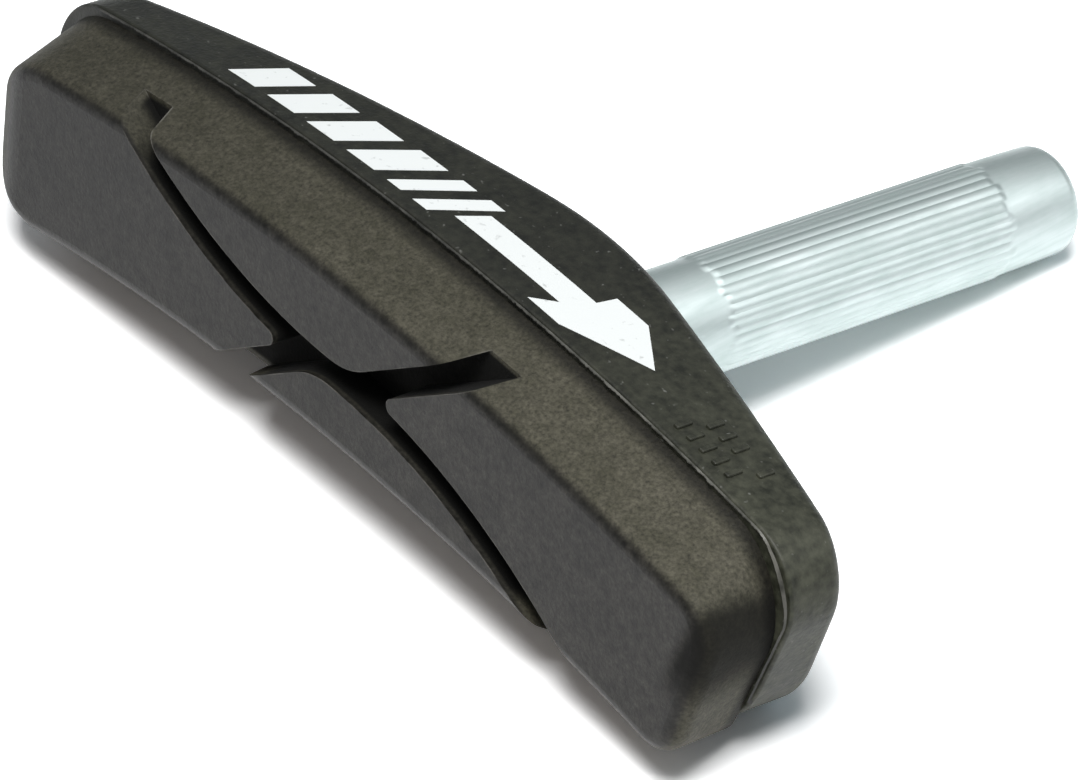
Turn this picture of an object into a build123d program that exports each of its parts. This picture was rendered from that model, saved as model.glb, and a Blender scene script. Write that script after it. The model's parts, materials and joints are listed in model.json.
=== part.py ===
from build123d import *
import os
from math import acos, asin, degrees, radians, sin, sqrt

# Bicycle rim brake pad with a smooth post, in millimetres.
# It is drawn with the post level along +Y, the braking face on the plane Y = 0 and the pad arched in XZ.
# The finished pieces are then laid down as a loose pad lies: on its two lower corners and the post's tip.

# Pad, measured along the braking face from the axis of the post
left_reach = 40.5
right_reach = 26.6
arch_radius = 195.0
toe_setback = 2.1
corner_radius = 5.2
toe_radius = 2.5

# Friction block
block_thickness = 5.5
face_height = 10.6
block_back_height = 13.8
face_toe_setback = 0.6
face_edge_radius = 1.0
nose_radius = 5.0
nose_setback = 1.4
nose_flat = 0.4
nose_upper_share = 0.6

# Wear slots in the braking face: two bent slots, one the other turned half round, that touch at their bends
slot_width = 1.65
slot_depth = 2.7
slot_centre = (-6.5, -0.8)
slot_arc_radius = 41.0
slot_bend_radius = 6.3
slot_leg_angle = 33.0
slot_tip_radius = 0.5

# Rubber backing
lip = 0.55
lip_edge_radius = 0.2
backing_heel_radius = 4.0
backing_toe_radius = 7.0
backing_left_thickness = 2.8
backing_right_thickness = 3.75
backing_ridge_thickness = 9.6
ridge_radius = 30.0
back_edge_radius = 1.0

# Post
knurl_diameter = 7.0
plain_diameter = 6.65
post_reach = 32.4
neck_length = 5.5
knurl_length = 21.8
knurl_teeth = 36
groove_width = 0.22
groove_depth = 0.12
tip_radius = 0.9

# Carrier plate inside the backing, and the end of the post that is riveted to it
plate_length = 44.0
plate_height = 7.5
plate_thickness = 1.5
plate_cover = 1.5
rivet_diameter = 5.0
rivet_head_diameter = 7.5
rivet_head_thickness = 0.9

# Places worked out from the sizes above
pad_length = left_reach + right_reach
pad_middle = (right_reach - left_reach) / 2
arch_centre = (pad_middle, -arch_radius)
nose_upper_radius = nose_upper_share * (face_height - nose_flat)
nose_lower_radius = face_height - nose_flat - nose_upper_radius
parting_plane = Plane.XZ.offset(-block_thickness)
ridge_depth = block_thickness + backing_ridge_thickness
plate_front = block_thickness + plate_cover
plate_back = plate_front + plate_thickness
knurl_start = ridge_depth + neck_length
tip_depth = ridge_depth + post_reach


def arched_face(height, length, setback):
    """Makes a strip of the given height that follows the rim, with its lower right corner set back."""
    half_angle = degrees(asin(length / 2 / arch_radius))
    toe_angle = degrees(asin((length / 2 - setback) / arch_radius))
    with BuildLine() as outline:
        upper = CenterArc(arch_centre, arch_radius + height / 2, 90 - half_angle, 2 * half_angle)
        lower = CenterArc(arch_centre, arch_radius - height / 2, 90 - toe_angle, toe_angle + half_angle)
        Line(upper @ 0, lower @ 0)
        Line(upper @ 1, lower @ 1)
    make_face(outline.edges())


# The post is turned from bar, with a rivet end for the plate, and its grip is knurled straight
with BuildPart() as post:
    with BuildSketch(Plane.XY) as half_section:
        with BuildLine():
            Polyline(
                (0, plate_front - rivet_head_thickness),
                (rivet_head_diameter / 2, plate_front - rivet_head_thickness),
                (rivet_head_diameter / 2, plate_front),
                (rivet_diameter / 2, plate_front),
                (rivet_diameter / 2, plate_back),
                (plain_diameter / 2, plate_back),
                (plain_diameter / 2, tip_depth),
                (0, tip_depth),
                close=True,
            )
        make_face()
        fillet(half_section.vertices().group_by(Axis.Y)[-1].sort_by(Axis.X)[-1], tip_radius)
    revolve(axis=Axis.Y)
    with BuildSketch(Plane.XZ.offset(-knurl_start)):
        Circle(knurl_diameter / 2)
        with PolarLocations(knurl_diameter / 2, knurl_teeth):
            Polygon(
                (groove_depth, groove_width),
                (-groove_depth, 0),
                (groove_depth, -groove_width),
                align=None,
                mode=Mode.SUBTRACT,
            )
    extrude(amount=-knurl_length)

# The carrier plate is a flat blank with round ends and the rivet hole of the post
with BuildPart() as carrier_plate:
    with BuildSketch(Plane.XZ.offset(-plate_front)):
        with Locations((pad_middle, 0)):
            SlotOverall(plate_length, plate_height)
        Circle(rivet_diameter / 2, mode=Mode.SUBTRACT)
    extrude(amount=-plate_thickness)

# The backing is moulded round the plate and the post, and slopes up from both ends to a soft ridge
with BuildPart() as backing:
    with BuildSketch(parting_plane) as lip_outline:
        arched_face(block_back_height + 2 * lip, pad_length + 2 * lip, toe_setback)
        toe, heel = lip_outline.vertices().sort_by(Axis.X)[-2:]
        fillet(lip_outline.vertices() - [toe, heel], corner_radius)
        fillet(lip_outline.vertices().sort_by_distance(toe)[0], backing_toe_radius)
        fillet(lip_outline.vertices().sort_by_distance(heel)[0], backing_heel_radius)
    extrude(amount=-backing_ridge_thickness)
    with BuildSketch(Plane.XY) as plan:
        # The flanks run on past the ends, because the arched ends lean out at the top
        flank_overrun = 1.2
        left_drop = flank_overrun * (backing_ridge_thickness - backing_left_thickness)
        right_drop = flank_overrun * (backing_ridge_thickness - backing_right_thickness)
        with BuildLine():
            Polyline(
                (-flank_overrun * left_reach, 0),
                (-flank_overrun * left_reach, ridge_depth - left_drop),
                (0, ridge_depth),
                (flank_overrun * right_reach, ridge_depth - right_drop),
                (flank_overrun * right_reach, 0),
                close=True,
            )
        make_face()
        fillet(plan.vertices().sort_by(Axis.Y)[-1], ridge_radius)
    extrude(amount=2 * block_back_height, both=True, mode=Mode.INTERSECT)
    ridge = backing.faces().sort_by(Axis.Y)[-1]
    fillet(ridge.edges().sort_by(Axis.Z)[-1], back_edge_radius)
    fillet(backing.faces().sort_by(Axis.Y)[0].edges(), lip_edge_radius)
    add(carrier_plate.part, mode=Mode.SUBTRACT)
    add(post.part, mode=Mode.SUBTRACT)

# One bent slot: its long arc and its straight leg both run out past the sides of the block
with BuildSketch() as bent_slot:
    slot_rise = block_back_height / 2 + slot_width
    arc_sweep = degrees(acos(1 - slot_rise / slot_arc_radius))
    with BuildLine():
        CenterArc((0, slot_arc_radius), slot_arc_radius, -90 - arc_sweep, arc_sweep)
        bend = CenterArc((0, slot_bend_radius), slot_bend_radius, -90, slot_leg_angle)
        Line(bend @ 1, bend @ 1 + bend % 1 * slot_rise / sin(radians(slot_leg_angle)))
    trace(line_width=slot_width)

# The friction block widens from the braking face to the parting plane, and its left end is well rounded
with BuildPart() as friction_block:
    with BuildSketch(Plane.XZ) as face_outline:
        arched_face(face_height, pad_length, face_toe_setback)
        fillet(face_outline.vertices().sort_by(Axis.X)[-2:], toe_radius)
        lower_left, upper_left = face_outline.vertices().sort_by(Axis.X)[:2].sort_by(Axis.Y)
        fillet(lower_left, nose_lower_radius)
        fillet(face_outline.vertices().sort_by_distance(upper_left)[0], nose_upper_radius)
    with BuildSketch(parting_plane) as parting_outline:
        arched_face(block_back_height, pad_length, toe_setback)
        toe = parting_outline.vertices().sort_by(Axis.X)[-2]
        fillet(parting_outline.vertices() - [toe], corner_radius)
        fillet(parting_outline.vertices().sort_by_distance(toe)[0], toe_radius)
    loft(ruled=True)
    with BuildSketch(Plane.XY):
        nose_length = sqrt(nose_radius**2 - (nose_radius - nose_setback) ** 2)
        with Locations((nose_length - left_reach, nose_radius)):
            Rectangle(2 * nose_radius, nose_radius, align=Align.MAX)
            Circle(nose_radius, mode=Mode.SUBTRACT)
    extrude(amount=block_back_height, both=True, mode=Mode.SUBTRACT)
    fillet(friction_block.edges().group_by(Axis.Y)[0].sort_by(Axis.Z)[-1], face_edge_radius)
    with BuildSketch(Plane.XZ) as slots:
        with Locations(slot_centre):
            with PolarLocations(0, 2):
                add(bent_slot.sketch)
        # The slots part at two sharp tips, next in order after the ends of the two bends
        fillet(slots.vertices().sort_by_distance(slot_centre)[4:6], slot_tip_radius)
    extrude(amount=-slot_depth, mode=Mode.SUBTRACT)


def lowest(piece, lean):
    """Height of the lowest point of a piece when the tip of the post is tipped down by the lean."""
    return piece.part.rotate(Axis.X, -lean).bounding_box().min.Z


# The pad leans back until its lower corners and the post's tip touch the same surface
lean = 0.0
for _ in range(6):
    lean += degrees((lowest(post, lean) - lowest(backing, lean)) / (tip_depth - block_thickness))
leaned = Location((0, 0, 0), (-lean, 0, 0))
pieces = {
    "post": post.part,
    "carrier_plate": carrier_plate.part,
    "backing": backing.part,
    "friction_block": friction_block.part,
}
box = Compound([piece.moved(leaned) for piece in pieces.values()]).bounding_box()
at_rest = Location((-box.center().X, -box.center().Y, -box.min.Z)) * leaned

os.makedirs("parts", exist_ok=True)
for name, piece in pieces.items():
    lying = piece.moved(at_rest)
    lying.label = name
    export_step(lying, f"parts/{name}.step")
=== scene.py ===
import json
from math import asin, atan2, cos, floor, pi, radians, sin, sqrt

import bmesh
import bpy
from mathutils import Matrix, Vector, noise


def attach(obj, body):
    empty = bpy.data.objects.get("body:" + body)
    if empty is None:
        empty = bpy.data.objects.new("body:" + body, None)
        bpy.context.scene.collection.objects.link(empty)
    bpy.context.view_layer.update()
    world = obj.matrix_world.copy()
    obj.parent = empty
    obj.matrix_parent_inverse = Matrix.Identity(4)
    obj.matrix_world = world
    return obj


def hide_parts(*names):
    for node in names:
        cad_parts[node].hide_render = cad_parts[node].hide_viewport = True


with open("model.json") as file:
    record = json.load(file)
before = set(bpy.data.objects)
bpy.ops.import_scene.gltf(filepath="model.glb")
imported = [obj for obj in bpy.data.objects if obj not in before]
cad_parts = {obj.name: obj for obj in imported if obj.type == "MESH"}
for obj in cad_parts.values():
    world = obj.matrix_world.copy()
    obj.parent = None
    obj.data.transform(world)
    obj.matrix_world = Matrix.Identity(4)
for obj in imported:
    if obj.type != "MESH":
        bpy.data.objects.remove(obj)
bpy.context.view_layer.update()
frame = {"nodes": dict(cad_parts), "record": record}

# Post: turned steel bar with a rivet end for the carrier plate and a grip that is knurled straight.
# The rolled teeth stand a little above the plain bar, each ends at its own place, and satin zinc covers all.
# Sizes are in the drawing's millimetres: there the post is level, and depths start at the braking face.
mm = 0.001
mounts = {mount["name"]: mount for mount in frame["record"]["mounts"]}
face_mount = Vector((10, 0, 1))
lean = asin(-mounts["post"]["axis"][2])
drawing = Matrix.Translation(mounts["braking_face"]["pos_m"]) @ Matrix.Rotation(-lean, 4, "X")
drawing = drawing @ Matrix.Scale(mm, 4) @ Matrix.Translation(-face_mount)
rivet_head_radius, rivet_radius = 3.75, 2.5
rivet_start, plate_front, plate_back = 6.1, 7.0, 8.5
plain_radius, bar_radius, knurl_radius = 3.325, 3.4, 3.5
taper_start, taper_end = 15.6, 17.6
knurl_start, knurl_end = 20.6, 42.4
knurl_teeth = 36
tooth_parts = 8
groove_depth = 0.06
tooth_runout = 0.4
uneven_start, uneven_end = 0.4, 0.5
start_scatter, end_scatter = 7.3, 4.1
runout_steps = (0, 0.1, 0.2, 0.3, 0.4, 0.5, 0.6, 0.7, 0.8, 0.95)
tip_start, tip_start_radius = 43.4, 3.39
tip_depth, tip_radius, tip_steps = 47.5, 0.9, 6
crease_angle = radians(28)
zinc_grey, zinc_pale = (0.405, 0.472, 0.463, 1), (0.52, 0.578, 0.578, 1)


def grip_radius(depth, radius, angle):
    """Gives the toothed post's radius at a depth and an angle, where the bar has the given radius."""
    turned = angle / (2 * pi) * knurl_teeth
    tooth = floor(turned)
    crest = knurl_radius - groove_depth * (1 - sin(pi * (turned - tooth)))
    first = knurl_start + uneven_start * abs(sin(start_scatter * tooth))
    last = knurl_end - uneven_end * abs(sin(end_scatter * tooth))
    run = max(0, min(1, (depth - first) / tooth_runout, (last - depth) / tooth_runout))
    return radius + (crest - radius) * run


def corners(made):
    """Picks the vertices out of what a mesh operator made."""
    return [part for part in made if isinstance(part, bmesh.types.BMVert)]


def new_piece(name, bm, finish):
    """Turns a finished bmesh into an object of the scene with one finish."""
    mesh = bpy.data.meshes.new(name)
    bm.to_mesh(mesh)
    bm.free()
    mesh.materials.append(finish)
    piece = bpy.data.objects.new(name, mesh)
    bpy.context.scene.collection.objects.link(piece)
    return piece


def new_finish(name):
    """Starts a finish, and gives its material and the inputs of its shader."""
    finish = bpy.data.materials.new(name)
    finish.use_nodes = True
    return finish, finish.node_tree.nodes["Principled BSDF"].inputs


def place_on(finish):
    """Gives the place of each point of the surface, in metres from the part's origin."""
    return finish.node_tree.nodes.new("ShaderNodeTexCoord").outputs["Object"]


def feed(socket, value):
    """Links a socket to another node's output, or sets it to a plain value."""
    if isinstance(value, bpy.types.NodeSocket):
        socket.id_data.links.new(value, socket)
    else:
        socket.default_value = value


def stretched(place, scale, tilt=0):
    """Scales a place along each axis, tipped about X, so that a speckle on it becomes streaks."""
    mapping = place.id_data.nodes.new("ShaderNodeMapping")
    mapping.inputs["Rotation"].default_value = (tilt, 0, 0)
    mapping.inputs["Scale"].default_value = scale
    feed(mapping.inputs["Vector"], place)
    return mapping.outputs["Vector"]


def speckle(place, scale, detail=2, roughness=0.5):
    """Makes an even scatter of spots at a place, finer as the scale grows."""
    texture = place.id_data.nodes.new("ShaderNodeTexNoise")
    texture.inputs["Scale"].default_value = scale
    texture.inputs["Detail"].default_value = detail
    texture.inputs["Roughness"].default_value = roughness
    feed(texture.inputs["Vector"], place)
    return texture.outputs["Fac"]


def blend(amount, under, over, data_type="RGBA", blend_type="MIX"):
    """Lays one colour, or one number, over another by an amount."""
    tree = next(part.id_data for part in (amount, under, over) if isinstance(part, bpy.types.NodeSocket))
    mix = tree.nodes.new("ShaderNodeMix")
    mix.data_type = data_type
    mix.blend_type = blend_type
    for name, value in (("Factor", amount), ("A", under), ("B", over)):
        feed(mix.inputs[name], value)
    return mix.outputs["Result"]


def tone(value, dark_at, dark, pale_at, pale):
    """Turns a value into a colour between a dark and a pale one."""
    ramp = value.id_data.nodes.new("ShaderNodeValToRGB")
    for stop, position, colour in zip(ramp.color_ramp.elements, (dark_at, pale_at), (dark, pale)):
        stop.position = position
        stop.color = colour
    feed(ramp.inputs["Fac"], value)
    return ramp.outputs["Color"]


def fade(value, start, end, low=0, high=1, soft=False):
    """Turns a value into one that goes from low at the start to high at the end."""
    slope = value.id_data.nodes.new("ShaderNodeMapRange")
    slope.interpolation_type = "SMOOTHSTEP" if soft else "LINEAR"
    for name, number in (("From Min", start), ("From Max", end), ("To Min", low), ("To Max", high)):
        slope.inputs[name].default_value = number
    feed(slope.inputs["Value"], value)
    return slope.outputs["Result"]


def dimple(height, strength, depth):
    """Makes a surface rough by a height, as deep as given in metres."""
    bump = height.id_data.nodes.new("ShaderNodeBump")
    bump.inputs["Distance"].default_value = depth
    feed(bump.inputs["Strength"], strength)
    feed(bump.inputs["Height"], height)
    return bump.outputs["Normal"]


rows = [
    (rivet_start, rivet_head_radius),
    (plate_front, rivet_head_radius),
    (plate_front, rivet_radius),
    (plate_back, rivet_radius),
    (plate_back, plain_radius),
    (taper_start, plain_radius),
    (taper_end, bar_radius),
]
rows += [(knurl_start + step, bar_radius) for step in runout_steps]
rows += [(knurl_end - step, bar_radius) for step in reversed(runout_steps)]
rows.append((tip_start, tip_start_radius))
for step in range(tip_steps + 1):
    bend = radians(90 * step / tip_steps)
    rows.append((tip_depth - tip_radius * (1 - sin(bend)), plain_radius - tip_radius * (1 - cos(bend))))
bm = bmesh.new()
bmesh.ops.create_circle(bm, cap_ends=True, segments=tooth_parts * knurl_teeth, radius=1)
rim = bm.edges[:]
for vert in bm.verts:
    vert.co = vert.co * rivet_head_radius + Vector((0, 0, rivet_start))
for depth, radius in rows[1:]:
    grown = bmesh.ops.extrude_edge_only(bm, edges=rim)["geom"]
    rim = [part for part in grown if isinstance(part, bmesh.types.BMEdge) and part.is_boundary]
    for vert in corners(grown):
        angle = atan2(vert.co.y, vert.co.x)
        grip = grip_radius(depth, radius, angle)
        vert.co = Vector((cos(angle), sin(angle), 0)) * grip + Vector((0, 0, depth))
bmesh.ops.contextual_create(bm, geom=rim)
bmesh.ops.recalc_face_normals(bm, faces=bm.faces)
for face in bm.faces:
    face.smooth = True
for seam in bm.edges:
    seam.smooth = seam.calc_face_angle(0) < crease_angle
bm.transform(drawing @ Matrix.Rotation(radians(-90), 4, "X"))
zinc, surface = new_finish("zinc_plate")
place = place_on(zinc)
streaks = speckle(stretched(place, (2600, 140, 2600), tilt=lean), scale=1, detail=3)
clouds = speckle(place, scale=420, detail=5)
plating = blend(0.45, streaks, clouds, "FLOAT")
surface["Metallic"].default_value = 1
feed(surface["Base Color"], tone(plating, 0.3, zinc_grey, 0.7, zinc_pale))
feed(surface["Roughness"], fade(plating, 0.3, 0.7, low=0.52, high=0.42))
feed(surface["Normal"], dimple(plating, strength=0.25, depth=0.03 * mm))
post = new_piece("knurled_post", bm, zinc)
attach(post, "root")
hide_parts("post")

# Carrier plate: flat steel blank that is moulded into the backing, out of sight, and holds the post's rivet.
# Cold-rolled sheet with a faint grain along its length.
plate = frame["nodes"]["carrier_plate"]
steel_grey = (0.5, 0.5, 0.51, 1)


def dress(node, finish):
    """Gives a solid its finish in place of the plain one."""
    node.data.materials.clear()
    node.data.materials.append(finish)


steel, surface = new_finish("rolled_steel")
rolled = speckle(stretched(place_on(steel), (120, 2500, 2500)), scale=1)
surface["Metallic"].default_value = 1
surface["Base Color"].default_value = steel_grey
feed(surface["Roughness"], fade(rolled, 0, 1, low=0.3, high=0.55))
dress(plate, steel)

# Backing: black rubber moulded round the plate and the post, smoother than the brake rubber.
# Its skin has a fine mould grain, cloudy patches and a few pale specks of dust, and painted light makes it
# greyer to the right.
backing = frame["nodes"]["backing"]
skin_black, skin_grey = (0.005, 0.0056, 0.0032, 1), (0.028, 0.029, 0.02, 1)
dust_grey = (0.3, 0.3, 0.28, 1)


def drawn(place, origin):
    """Turns a place on the part into millimetres of the drawing, from an origin given on the part."""
    mapping = place.id_data.nodes.new("ShaderNodeMapping")
    mapping.vector_type = "TEXTURE"
    mapping.inputs["Location"].default_value = origin
    mapping.inputs["Rotation"].default_value = (-lean, 0, 0)
    mapping.inputs["Scale"].default_value = (mm, mm, mm)
    feed(mapping.inputs["Vector"], place)
    return mapping.outputs["Vector"]


def axes_of(place):
    """Splits a place into its X, Y and Z."""
    axes = place.id_data.nodes.new("ShaderNodeSeparateXYZ")
    feed(axes.inputs["Vector"], place)
    return axes.outputs


backing_rubber, surface = new_finish("backing_rubber")
place = place_on(backing_rubber)
clouds = speckle(place, scale=380, detail=4)
mottle = speckle(place, scale=1900, detail=4)
skin = tone(blend(0.6, clouds, mottle, "FLOAT"), 0.36, skin_black, 0.66, skin_grey)
# Painted light: the skin is made greyer towards the right, as if lit from there
painted_light_to_right = fade(axes_of(drawn(place, drawing.translation))["X"], 2, 24, low=0.6, high=1.8)
skin_with_painted_light = blend(1, skin, painted_light_to_right, blend_type="MULTIPLY")
specks = fade(speckle(place, scale=2600, detail=1), 0.71, 0.86, high=0.4)
grain = speckle(place, scale=4200)
surface["Specular IOR Level"].default_value = 0.26
feed(surface["Base Color"], blend(specks, skin_with_painted_light, dust_grey))
feed(surface["Roughness"], fade(clouds, 0, 1, low=0.4, high=0.6))
feed(surface["Normal"], dimple(grain, strength=0.55, depth=0.05 * mm))
dress(backing, backing_rubber)

# Mould ticks: two rows of short raised bars on the backing's top, right of the ridge.
# They are moulded with the backing, of its own rubber.
# The drawing's X runs along the pad, Y back from the braking face, and the pad is arched about one centre.
arch_middle = -6.95
arch_radius = 195
half_height = 7.45
top_radius = arch_radius + half_height
tick_rows = {6.9: (15.4, 16.5, 17.6, 18.7, 19.8), 8.5: (16.2, 17.3, 18.4, 20.6)}
tick_size = Vector((0.42, 1.1, 0.3))
tick_edge = 0.1
bm = bmesh.new()
for tick_y, tick_places in tick_rows.items():
    for tick_x in tick_places:
        turn = asin((tick_x - arch_middle) / top_radius)
        spot = Vector((tick_x, tick_y, top_radius * cos(turn) - arch_radius))
        upright = Matrix.Translation(spot) @ Matrix.Rotation(turn, 4, "Y")
        bmesh.ops.create_cube(bm, size=1, matrix=upright @ Matrix.Diagonal(tick_size).to_4x4())
bmesh.ops.bevel(bm, geom=bm.edges[:], offset=tick_edge, affect="EDGES", segments=2, profile=0.5, material=-1)
bm.transform(drawing)
ticks = new_piece("mould_ticks", bm, backing_rubber)
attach(ticks, "root")

# Print: a plain white arrow with slanted bars behind it, pad-printed on the backing's top.
# It is one thin layer of ink that follows the arch, a little thin in places.
ink_thickness = 0.02
ink_slant = 0.6
bar_low = 6.5
bars = (
    # start, width, height
    (-26.2, 2.6, 3.0),
    (-22.4, 2.6, 3.2),
    (-18.6, 2.6, 3.4),
    (-14.8, 2.6, 3.6),
    (-11.0, 1.3, 3.7),
    (-8.6, 1.3, 3.8),
)
arrow = (
    (-6.0, 7.5), (3.6, 7.5), (2.4, 6.2), (5.2, 6.2), (11.0, 8.4),
    (7.6, 10.6), (4.8, 10.6), (4.6, 9.3), (-5.0, 9.3),
)
arrow_cuts = range(-6, 11)
ink_thin, ink_white = (0.4, 0.41, 0.4, 1), (0.74, 0.76, 0.75, 1)
bm = bmesh.new()
for start, width, height in bars:
    slanted = Matrix.Identity(4)
    slanted[0][0] = width
    slanted[0][1] = ink_slant * height
    slanted[0][3] = start + (width + ink_slant * height) / 2
    slanted[1][1] = height
    slanted[1][3] = bar_low + height / 2
    bmesh.ops.create_grid(bm, x_segments=3, y_segments=1, size=0.5, matrix=slanted)
bm.faces.new([bm.verts.new((x, y, 0)) for x, y in arrow])
for x in arrow_cuts:
    whole = bm.verts[:] + bm.edges[:] + bm.faces[:]
    bmesh.ops.bisect_plane(bm, geom=whole, plane_co=(x, 0, 0), plane_no=(1, 0, 0))
for vert in bm.verts:
    vert.co.z = sqrt((top_radius + ink_thickness) ** 2 - (vert.co.x - arch_middle) ** 2) - arch_radius
bmesh.ops.recalc_face_normals(bm, faces=bm.faces)
bmesh.ops.solidify(bm, geom=bm.faces[:], thickness=ink_thickness)
bm.transform(drawing)
ink, surface = new_finish("white_ink")
cover = speckle(place_on(ink), scale=1800, detail=4)
surface["Roughness"].default_value = 0.5
feed(surface["Base Color"], tone(cover, 0.22, ink_thin, 0.36, ink_white))
pad_print = new_piece("print", bm, ink)
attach(pad_print, "root")

# Friction block: dark grey brake rubber with grit in it, bonded to the backing.
# Its moulded sides are brownish and gritty, and the braking face is a finer neutral grey.
# The slots are painted black as shade, and the sharp edges near the braking face get painted pale
# highlights.
block = frame["nodes"]["friction_block"]
face_height, back_height, block_thickness = 10.6, 13.8, 5.5
side_draft = (back_height - face_height) / 2 / block_thickness
end_out, end_up = (0.949, 0, -0.3152), (0.3152, 0, 0.949)
end_place = -29.7
# Width of the painted highlights on the sharp edges
highlight_radius = 0.16
face_dark, face_grey = (0.0045, 0.0042, 0.0034, 1), (0.021, 0.0196, 0.0168, 1)
side_dark, side_brown = (0.034, 0.0324, 0.0222, 1), (0.058, 0.0542, 0.04, 1)
# Pale of the painted highlights on the sharp edges
highlight_pale = (0.13, 0.125, 0.11, 1)
# Black of the painted shade in the slots and at the top of the right end
shade_black = (0.003, 0.003, 0.0025, 1)


def work_out(operation, *values):
    """Works out a sum of linked or plain numbers, the first of them linked."""
    sum_node = values[0].id_data.nodes.new("ShaderNodeMath")
    sum_node.operation = operation
    for socket, value in zip(sum_node.inputs, values):
        feed(socket, value)
    return sum_node.outputs["Value"]


def measure(operation, *vectors):
    """Works out a length or a product of linked or plain vectors, the first of them linked."""
    vector_node = vectors[0].id_data.nodes.new("ShaderNodeVectorMath")
    vector_node.operation = operation
    for socket, vector in zip(vector_node.inputs, vectors):
        feed(socket, vector)
    return vector_node.outputs


brake_rubber, surface = new_finish("brake_rubber")
place = place_on(brake_rubber)
from_centre = drawn(place, drawing @ Vector((arch_middle, 0, -arch_radius)))
along, depth = axes_of(from_centre)[:2]
# The grey of the face turns into the brown of the sides, all flecked, with painted light making it paler to
# the right and painted shade making it dark by the lip
moulded = fade(depth, 0.08, 0.5, soft=True)
clouds = speckle(place, scale=300, detail=5)
mottle = speckle(place, scale=1700, detail=3)
patchy = blend(0.6, clouds, mottle, "FLOAT")
face_tint = tone(patchy, 0.36, face_dark, 0.66, face_grey)
side_tint = tone(patchy, 0.36, side_dark, 0.66, side_brown)
zones = blend(moulded, face_tint, side_tint)
grit = speckle(place, scale=4300, detail=5, roughness=0.65)
fleck = fade(grit, 0.3, 0.7, low=0.45, high=1.55)
# Painted light: the rubber is made paler towards the right, as if lit from there
painted_light_along = fade(along, -26, 28, low=0.75, high=1.25)
# Painted shade: a dark band next to the lip, where the lip stands above the strip
painted_shade_by_lip = fade(depth, 4.3, 5.1, low=1, high=0.22)
painted_light_and_shade = work_out("MULTIPLY", painted_light_along, painted_shade_by_lip)
flecks_and_painted_light = blend(1, zones, work_out("MULTIPLY", painted_light_and_shade, fleck), blend_type="MULTIPLY")
# The sharp edges near the braking face are painted pale as highlights, in stretches
rounded = brake_rubber.node_tree.nodes.new("ShaderNodeBevel")
rounded.samples = 6
rounded.inputs["Radius"].default_value = highlight_radius * mm
geometry = brake_rubber.node_tree.nodes.new("ShaderNodeNewGeometry")
facing = measure("DOT_PRODUCT", rounded.outputs["Normal"], geometry.outputs["Normal"])["Value"]
edge = fade(facing, 0.98, 0.8, high=0.8)
front = fade(depth, 3.2, 2.6)
in_stretches = fade(speckle(place, scale=520, detail=3), 0.42, 0.62)
painted_edge_highlight = work_out("MULTIPLY", edge, work_out("MULTIPLY", front, in_stretches))
with_edge_highlights = blend(painted_edge_highlight, flecks_and_painted_light, highlight_pale)
# Painted shade on the slots' walls starts a little inside the block's sides, and sooner in the right slot
flat = measure("MULTIPLY", from_centre, (1, 0, 1))["Vector"]
rise = work_out("SUBTRACT", measure("LENGTH", flat)["Value"], arch_radius)
outer_side = work_out("MULTIPLY_ADD", depth, side_draft, face_height / 2)
below_side = work_out("SUBTRACT", outer_side, work_out("ABSOLUTE", rise))
shade_sooner_right = fade(along, -14, 2, high=5)
upper = fade(rise, -2, 0, low=0.25)
buried = work_out("MULTIPLY", below_side, work_out("MULTIPLY_ADD", shade_sooner_right, upper, 1))
inward = fade(buried, 0.9, 2.2, soft=True)
sunk = fade(depth, 0.05, 0.5, soft=True)
shade_on_wall = work_out("MULTIPLY", inward, sunk)
# Painted shade covers the slots' floor up to their mouths, and there is none near the block's two ends
deep = fade(depth, 1.5, 2.5, soft=True)
mouth = fade(below_side, 0.12, 0.45, soft=True)
shade_on_floor = work_out("MULTIPLY", deep, mouth)
slot_shade = work_out("MAXIMUM", shade_on_wall, shade_on_floor)
between = fade(work_out("ABSOLUTE", along), 29, 26, soft=True)
painted_slot_shade = work_out("MULTIPLY", slot_shade, between)
# The right end has painted shade at its top, a dark patch made as dull as the slots' painted shade
past_end = measure("DOT_PRODUCT", from_centre, end_out)["Value"]
on_end = fade(past_end, end_place - 2.2, end_place - 0.9, soft=True)
up_end = measure("DOT_PRODUCT", from_centre, end_up)["Value"]
end_top = fade(up_end, 190.5, 194.5, high=0.85, soft=True)
painted_shade = work_out("MAXIMUM", painted_slot_shade, work_out("MULTIPLY", on_end, end_top))
sheen = fade(moulded, 0, 1, low=0.42, high=0.58)
rough = fade(moulded, 0, 1, low=0.4, high=0.8)
surface["Specular IOR Level"].default_value = 0.165
feed(surface["Base Color"], blend(painted_shade, with_edge_highlights, shade_black))
feed(surface["Roughness"], blend(painted_shade, sheen, 0.95, "FLOAT"))
feed(surface["Normal"], dimple(grit, strength=rough, depth=0.06 * mm))
dress(block, brake_rubber)

# Flash: the ragged fin of rubber left on the lip's front edge, where the two halves of the mould met.
# It follows the top of the lip, goes round its heel and down the right end; its mottled grey is darkened by
# painted shade towards the left and lower down the end.
flash_start = -37.5
flash_y = 5.58
flash_inset = 0.14
flash_thickness = 0.06
flash_radius = top_radius - flash_inset
arch_steps, heel_steps, end_steps = 420, 60, 40
fin_way = Vector((0, -0.95, 0.1))
fin_width, fin_ragged = 0.12, 0.2
web_width, web_swell, web_ragged = 0.2, 0.4, 0.06
web_growth = 5
web_dip = Vector((0, -0.15, 0))
heel_middle = Vector((23.22, flash_y, 1.144))
heel_radius = 4.0
heel_turn = radians(99.2)
end_run = Vector((-0.3073, 0, -0.9516)) * 6
arch_axis = Vector((arch_middle, flash_y, -arch_radius))
start_angle = asin((flash_start - arch_middle) / flash_radius)
heel_angle = asin((heel_middle.x - arch_middle) / (top_radius - heel_radius))
thin_dark, thin_pale = (0.035, 0.035, 0.028, 1), (0.15, 0.147, 0.13, 1)
bm = bmesh.new()
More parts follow.
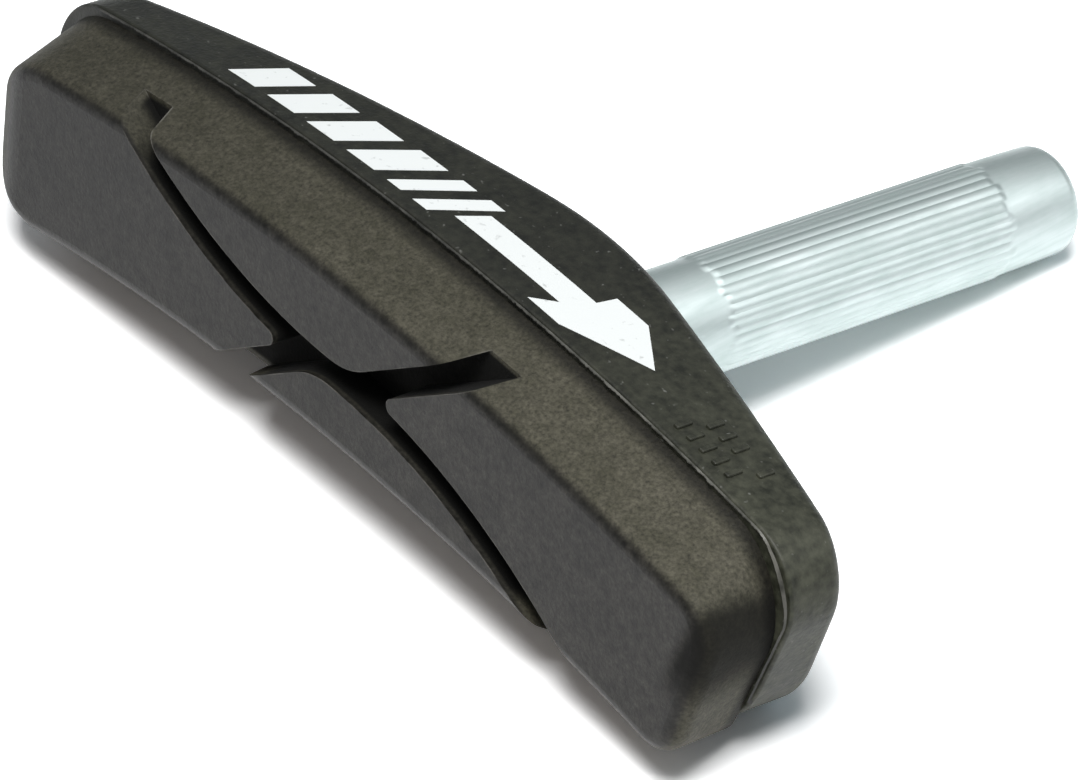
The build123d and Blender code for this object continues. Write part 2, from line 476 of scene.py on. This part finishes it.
tail = [bm.verts.new(arch_axis + flash_radius * Vector((sin(start_angle), 0, cos(start_angle))))]
sweeps = (
    (arch_axis, heel_angle - start_angle, arch_steps),
    (heel_middle, heel_turn, heel_steps),
)
for middle, turn, steps in sweeps:
    swept = bmesh.ops.spin(bm, geom=tail, cent=middle, axis=(0, 1, 0), angle=turn, steps=steps)
    tail = corners(swept["geom_last"])
for step in range(end_steps):
    tail = bmesh.ops.extrude_vert_indiv(bm, verts=tail)["verts"]
    tail[0].co += end_run / end_steps
grown = bmesh.ops.extrude_edge_only(bm, edges=bm.edges[:])["geom"]
for vert in corners(grown):
    run = vert.co.x - vert.co.z
    coarse = noise.noise(Vector((run * 1.3, 4, 0)))
    fine = noise.noise(Vector((run * 5, 9, 0)))
    ragged = 0.5 + 0.5 * coarse + 0.5 * fine
    from_heel = vert.co - heel_middle
    round_heel = (atan2(from_heel.x, from_heel.z) - heel_angle) / heel_turn
    if round_heel < 1:
        inward = -from_heel.normalized()
        width = web_width + web_swell * sin(pi * max(0, round_heel)) ** 2
    else:
        inward = Vector((end_run.z, 0, -end_run.x)).normalized()
        width = web_width
    fin = fin_way * (fin_width + fin_ragged * max(0, ragged))
    web = inward * (width + web_ragged * ragged) + web_dip
    vert.co += fin.lerp(web, max(0, min(1, web_growth * round_heel)))
bmesh.ops.recalc_face_normals(bm, faces=bm.faces)
bmesh.ops.solidify(bm, geom=bm.faces[:], thickness=flash_thickness)
bm.transform(drawing)
thin_rubber, surface = new_finish("thin_rubber")
place = place_on(thin_rubber)
pale = tone(speckle(place, scale=900, detail=3), 0.35, thin_dark, 0.65, thin_pale)
axes = axes_of(place)
# Painted shade: the fin is darker towards the left and lower down the right end
rightward = fade(axes["X"], 2 * mm, 24 * mm, low=0.35)
upward = fade(axes["Z"], 8 * mm, 14 * mm, low=0.15)
flash_painted_shade = work_out("MULTIPLY", rightward, upward)
surface["Roughness"].default_value = 0.55
feed(surface["Base Color"], blend(1, pale, flash_painted_shade, blend_type="MULTIPLY"))
flash = new_piece("flash", bm, thin_rubber)
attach(flash, "root")

# Floor: one white paper sheet that runs past the picture on all sides.
# The camera and reflections see it overexposed, so that only the dark middle of the shadow is left on it.
half_sheet = 2
paper_white, paper_overexposed = (0.9, 0.9, 0.9, 1), (1.4, 1.4, 1.4, 1)
bm = bmesh.new()
bmesh.ops.create_grid(bm, x_segments=1, y_segments=1, size=half_sheet)
paper, surface = new_finish("white_paper")
rays = paper.node_tree.nodes.new("ShaderNodeLightPath").outputs
seen = work_out("MAXIMUM", rays["Is Camera Ray"], rays["Is Glossy Ray"])
seen = work_out("MAXIMUM", seen, rays["Is Transmission Ray"])
surface["Roughness"].default_value = 0.9
feed(surface["Base Color"], blend(seen, paper_white, paper_overexposed))
sheet = new_piece("floor", bm, paper)

# Light: a soft box above on the right front, and a pale panel behind that shows in reflections alone.
# The room is dim, warm in front and cool behind, and its bright ceiling too shows in reflections alone.
warm_front, cool_behind = (0.245, 0.228, 0.225, 1), (0.13, 0.18, 0.205, 1)
ceiling_edge, ceiling_middle = (0.3, 0.325, 0.33, 1), (1.5, 1.5, 1.5, 1)


def hang_lamp(name, width, length, watts, location):
    """Hangs a flat lamp that faces the part."""
    lamp_data = bpy.data.lights.new(name, "AREA")
    lamp_data.shape = "RECTANGLE"
    lamp_data.size = width
    lamp_data.size_y = length
    lamp_data.energy = watts
    lamp = bpy.data.objects.new(name, lamp_data)
    lamp.location = location
    lamp.rotation_euler = (-lamp.location).to_track_quat("-Z", "Y").to_euler()
    bpy.context.scene.collection.objects.link(lamp)
    return lamp


hang_lamp("softbox", width=0.24, length=0.24, watts=4.5, location=(0.165, -0.13, 0.58))
panel = hang_lamp("panel", width=0.7, length=0.6, watts=2.6, location=(0.5, 0.6, 0.5))
panel.visible_diffuse = False
world = bpy.data.worlds.new("room")
world.use_nodes = True
bpy.context.scene.world = world
room = world.node_tree.nodes
way = axes_of(room.new("ShaderNodeTexCoord").outputs["Generated"])
walls = blend(fade(way["Y"], -0.5, 0.5), warm_front, cool_behind)
ceiling = tone(way["Z"], 0.55, ceiling_edge, 0.88, ceiling_middle)
mirrored = room.new("ShaderNodeLightPath").outputs["Is Glossy Ray"]
feed(room["Background"].inputs["Color"], blend(mirrored, walls, ceiling))

# Camera: the photograph's viewing angle and lens.
# It stands above the pad's right front and looks down at the braking face, with the post behind.
camera_data = bpy.data.cameras.new("camera")
camera_data.sensor_width = 36
camera_data.lens = 233.33
camera_data.clip_start = 0.01
camera = bpy.data.objects.new("camera", camera_data)
camera.location = (0.253865, -0.192735, 0.252213)
camera.rotation_euler = (radians(51.2615), radians(1.7506), radians(52.5934))
bpy.context.scene.collection.objects.link(camera)
bpy.context.scene.camera = camera
bpy.context.scene.view_settings.view_transform = "Standard"
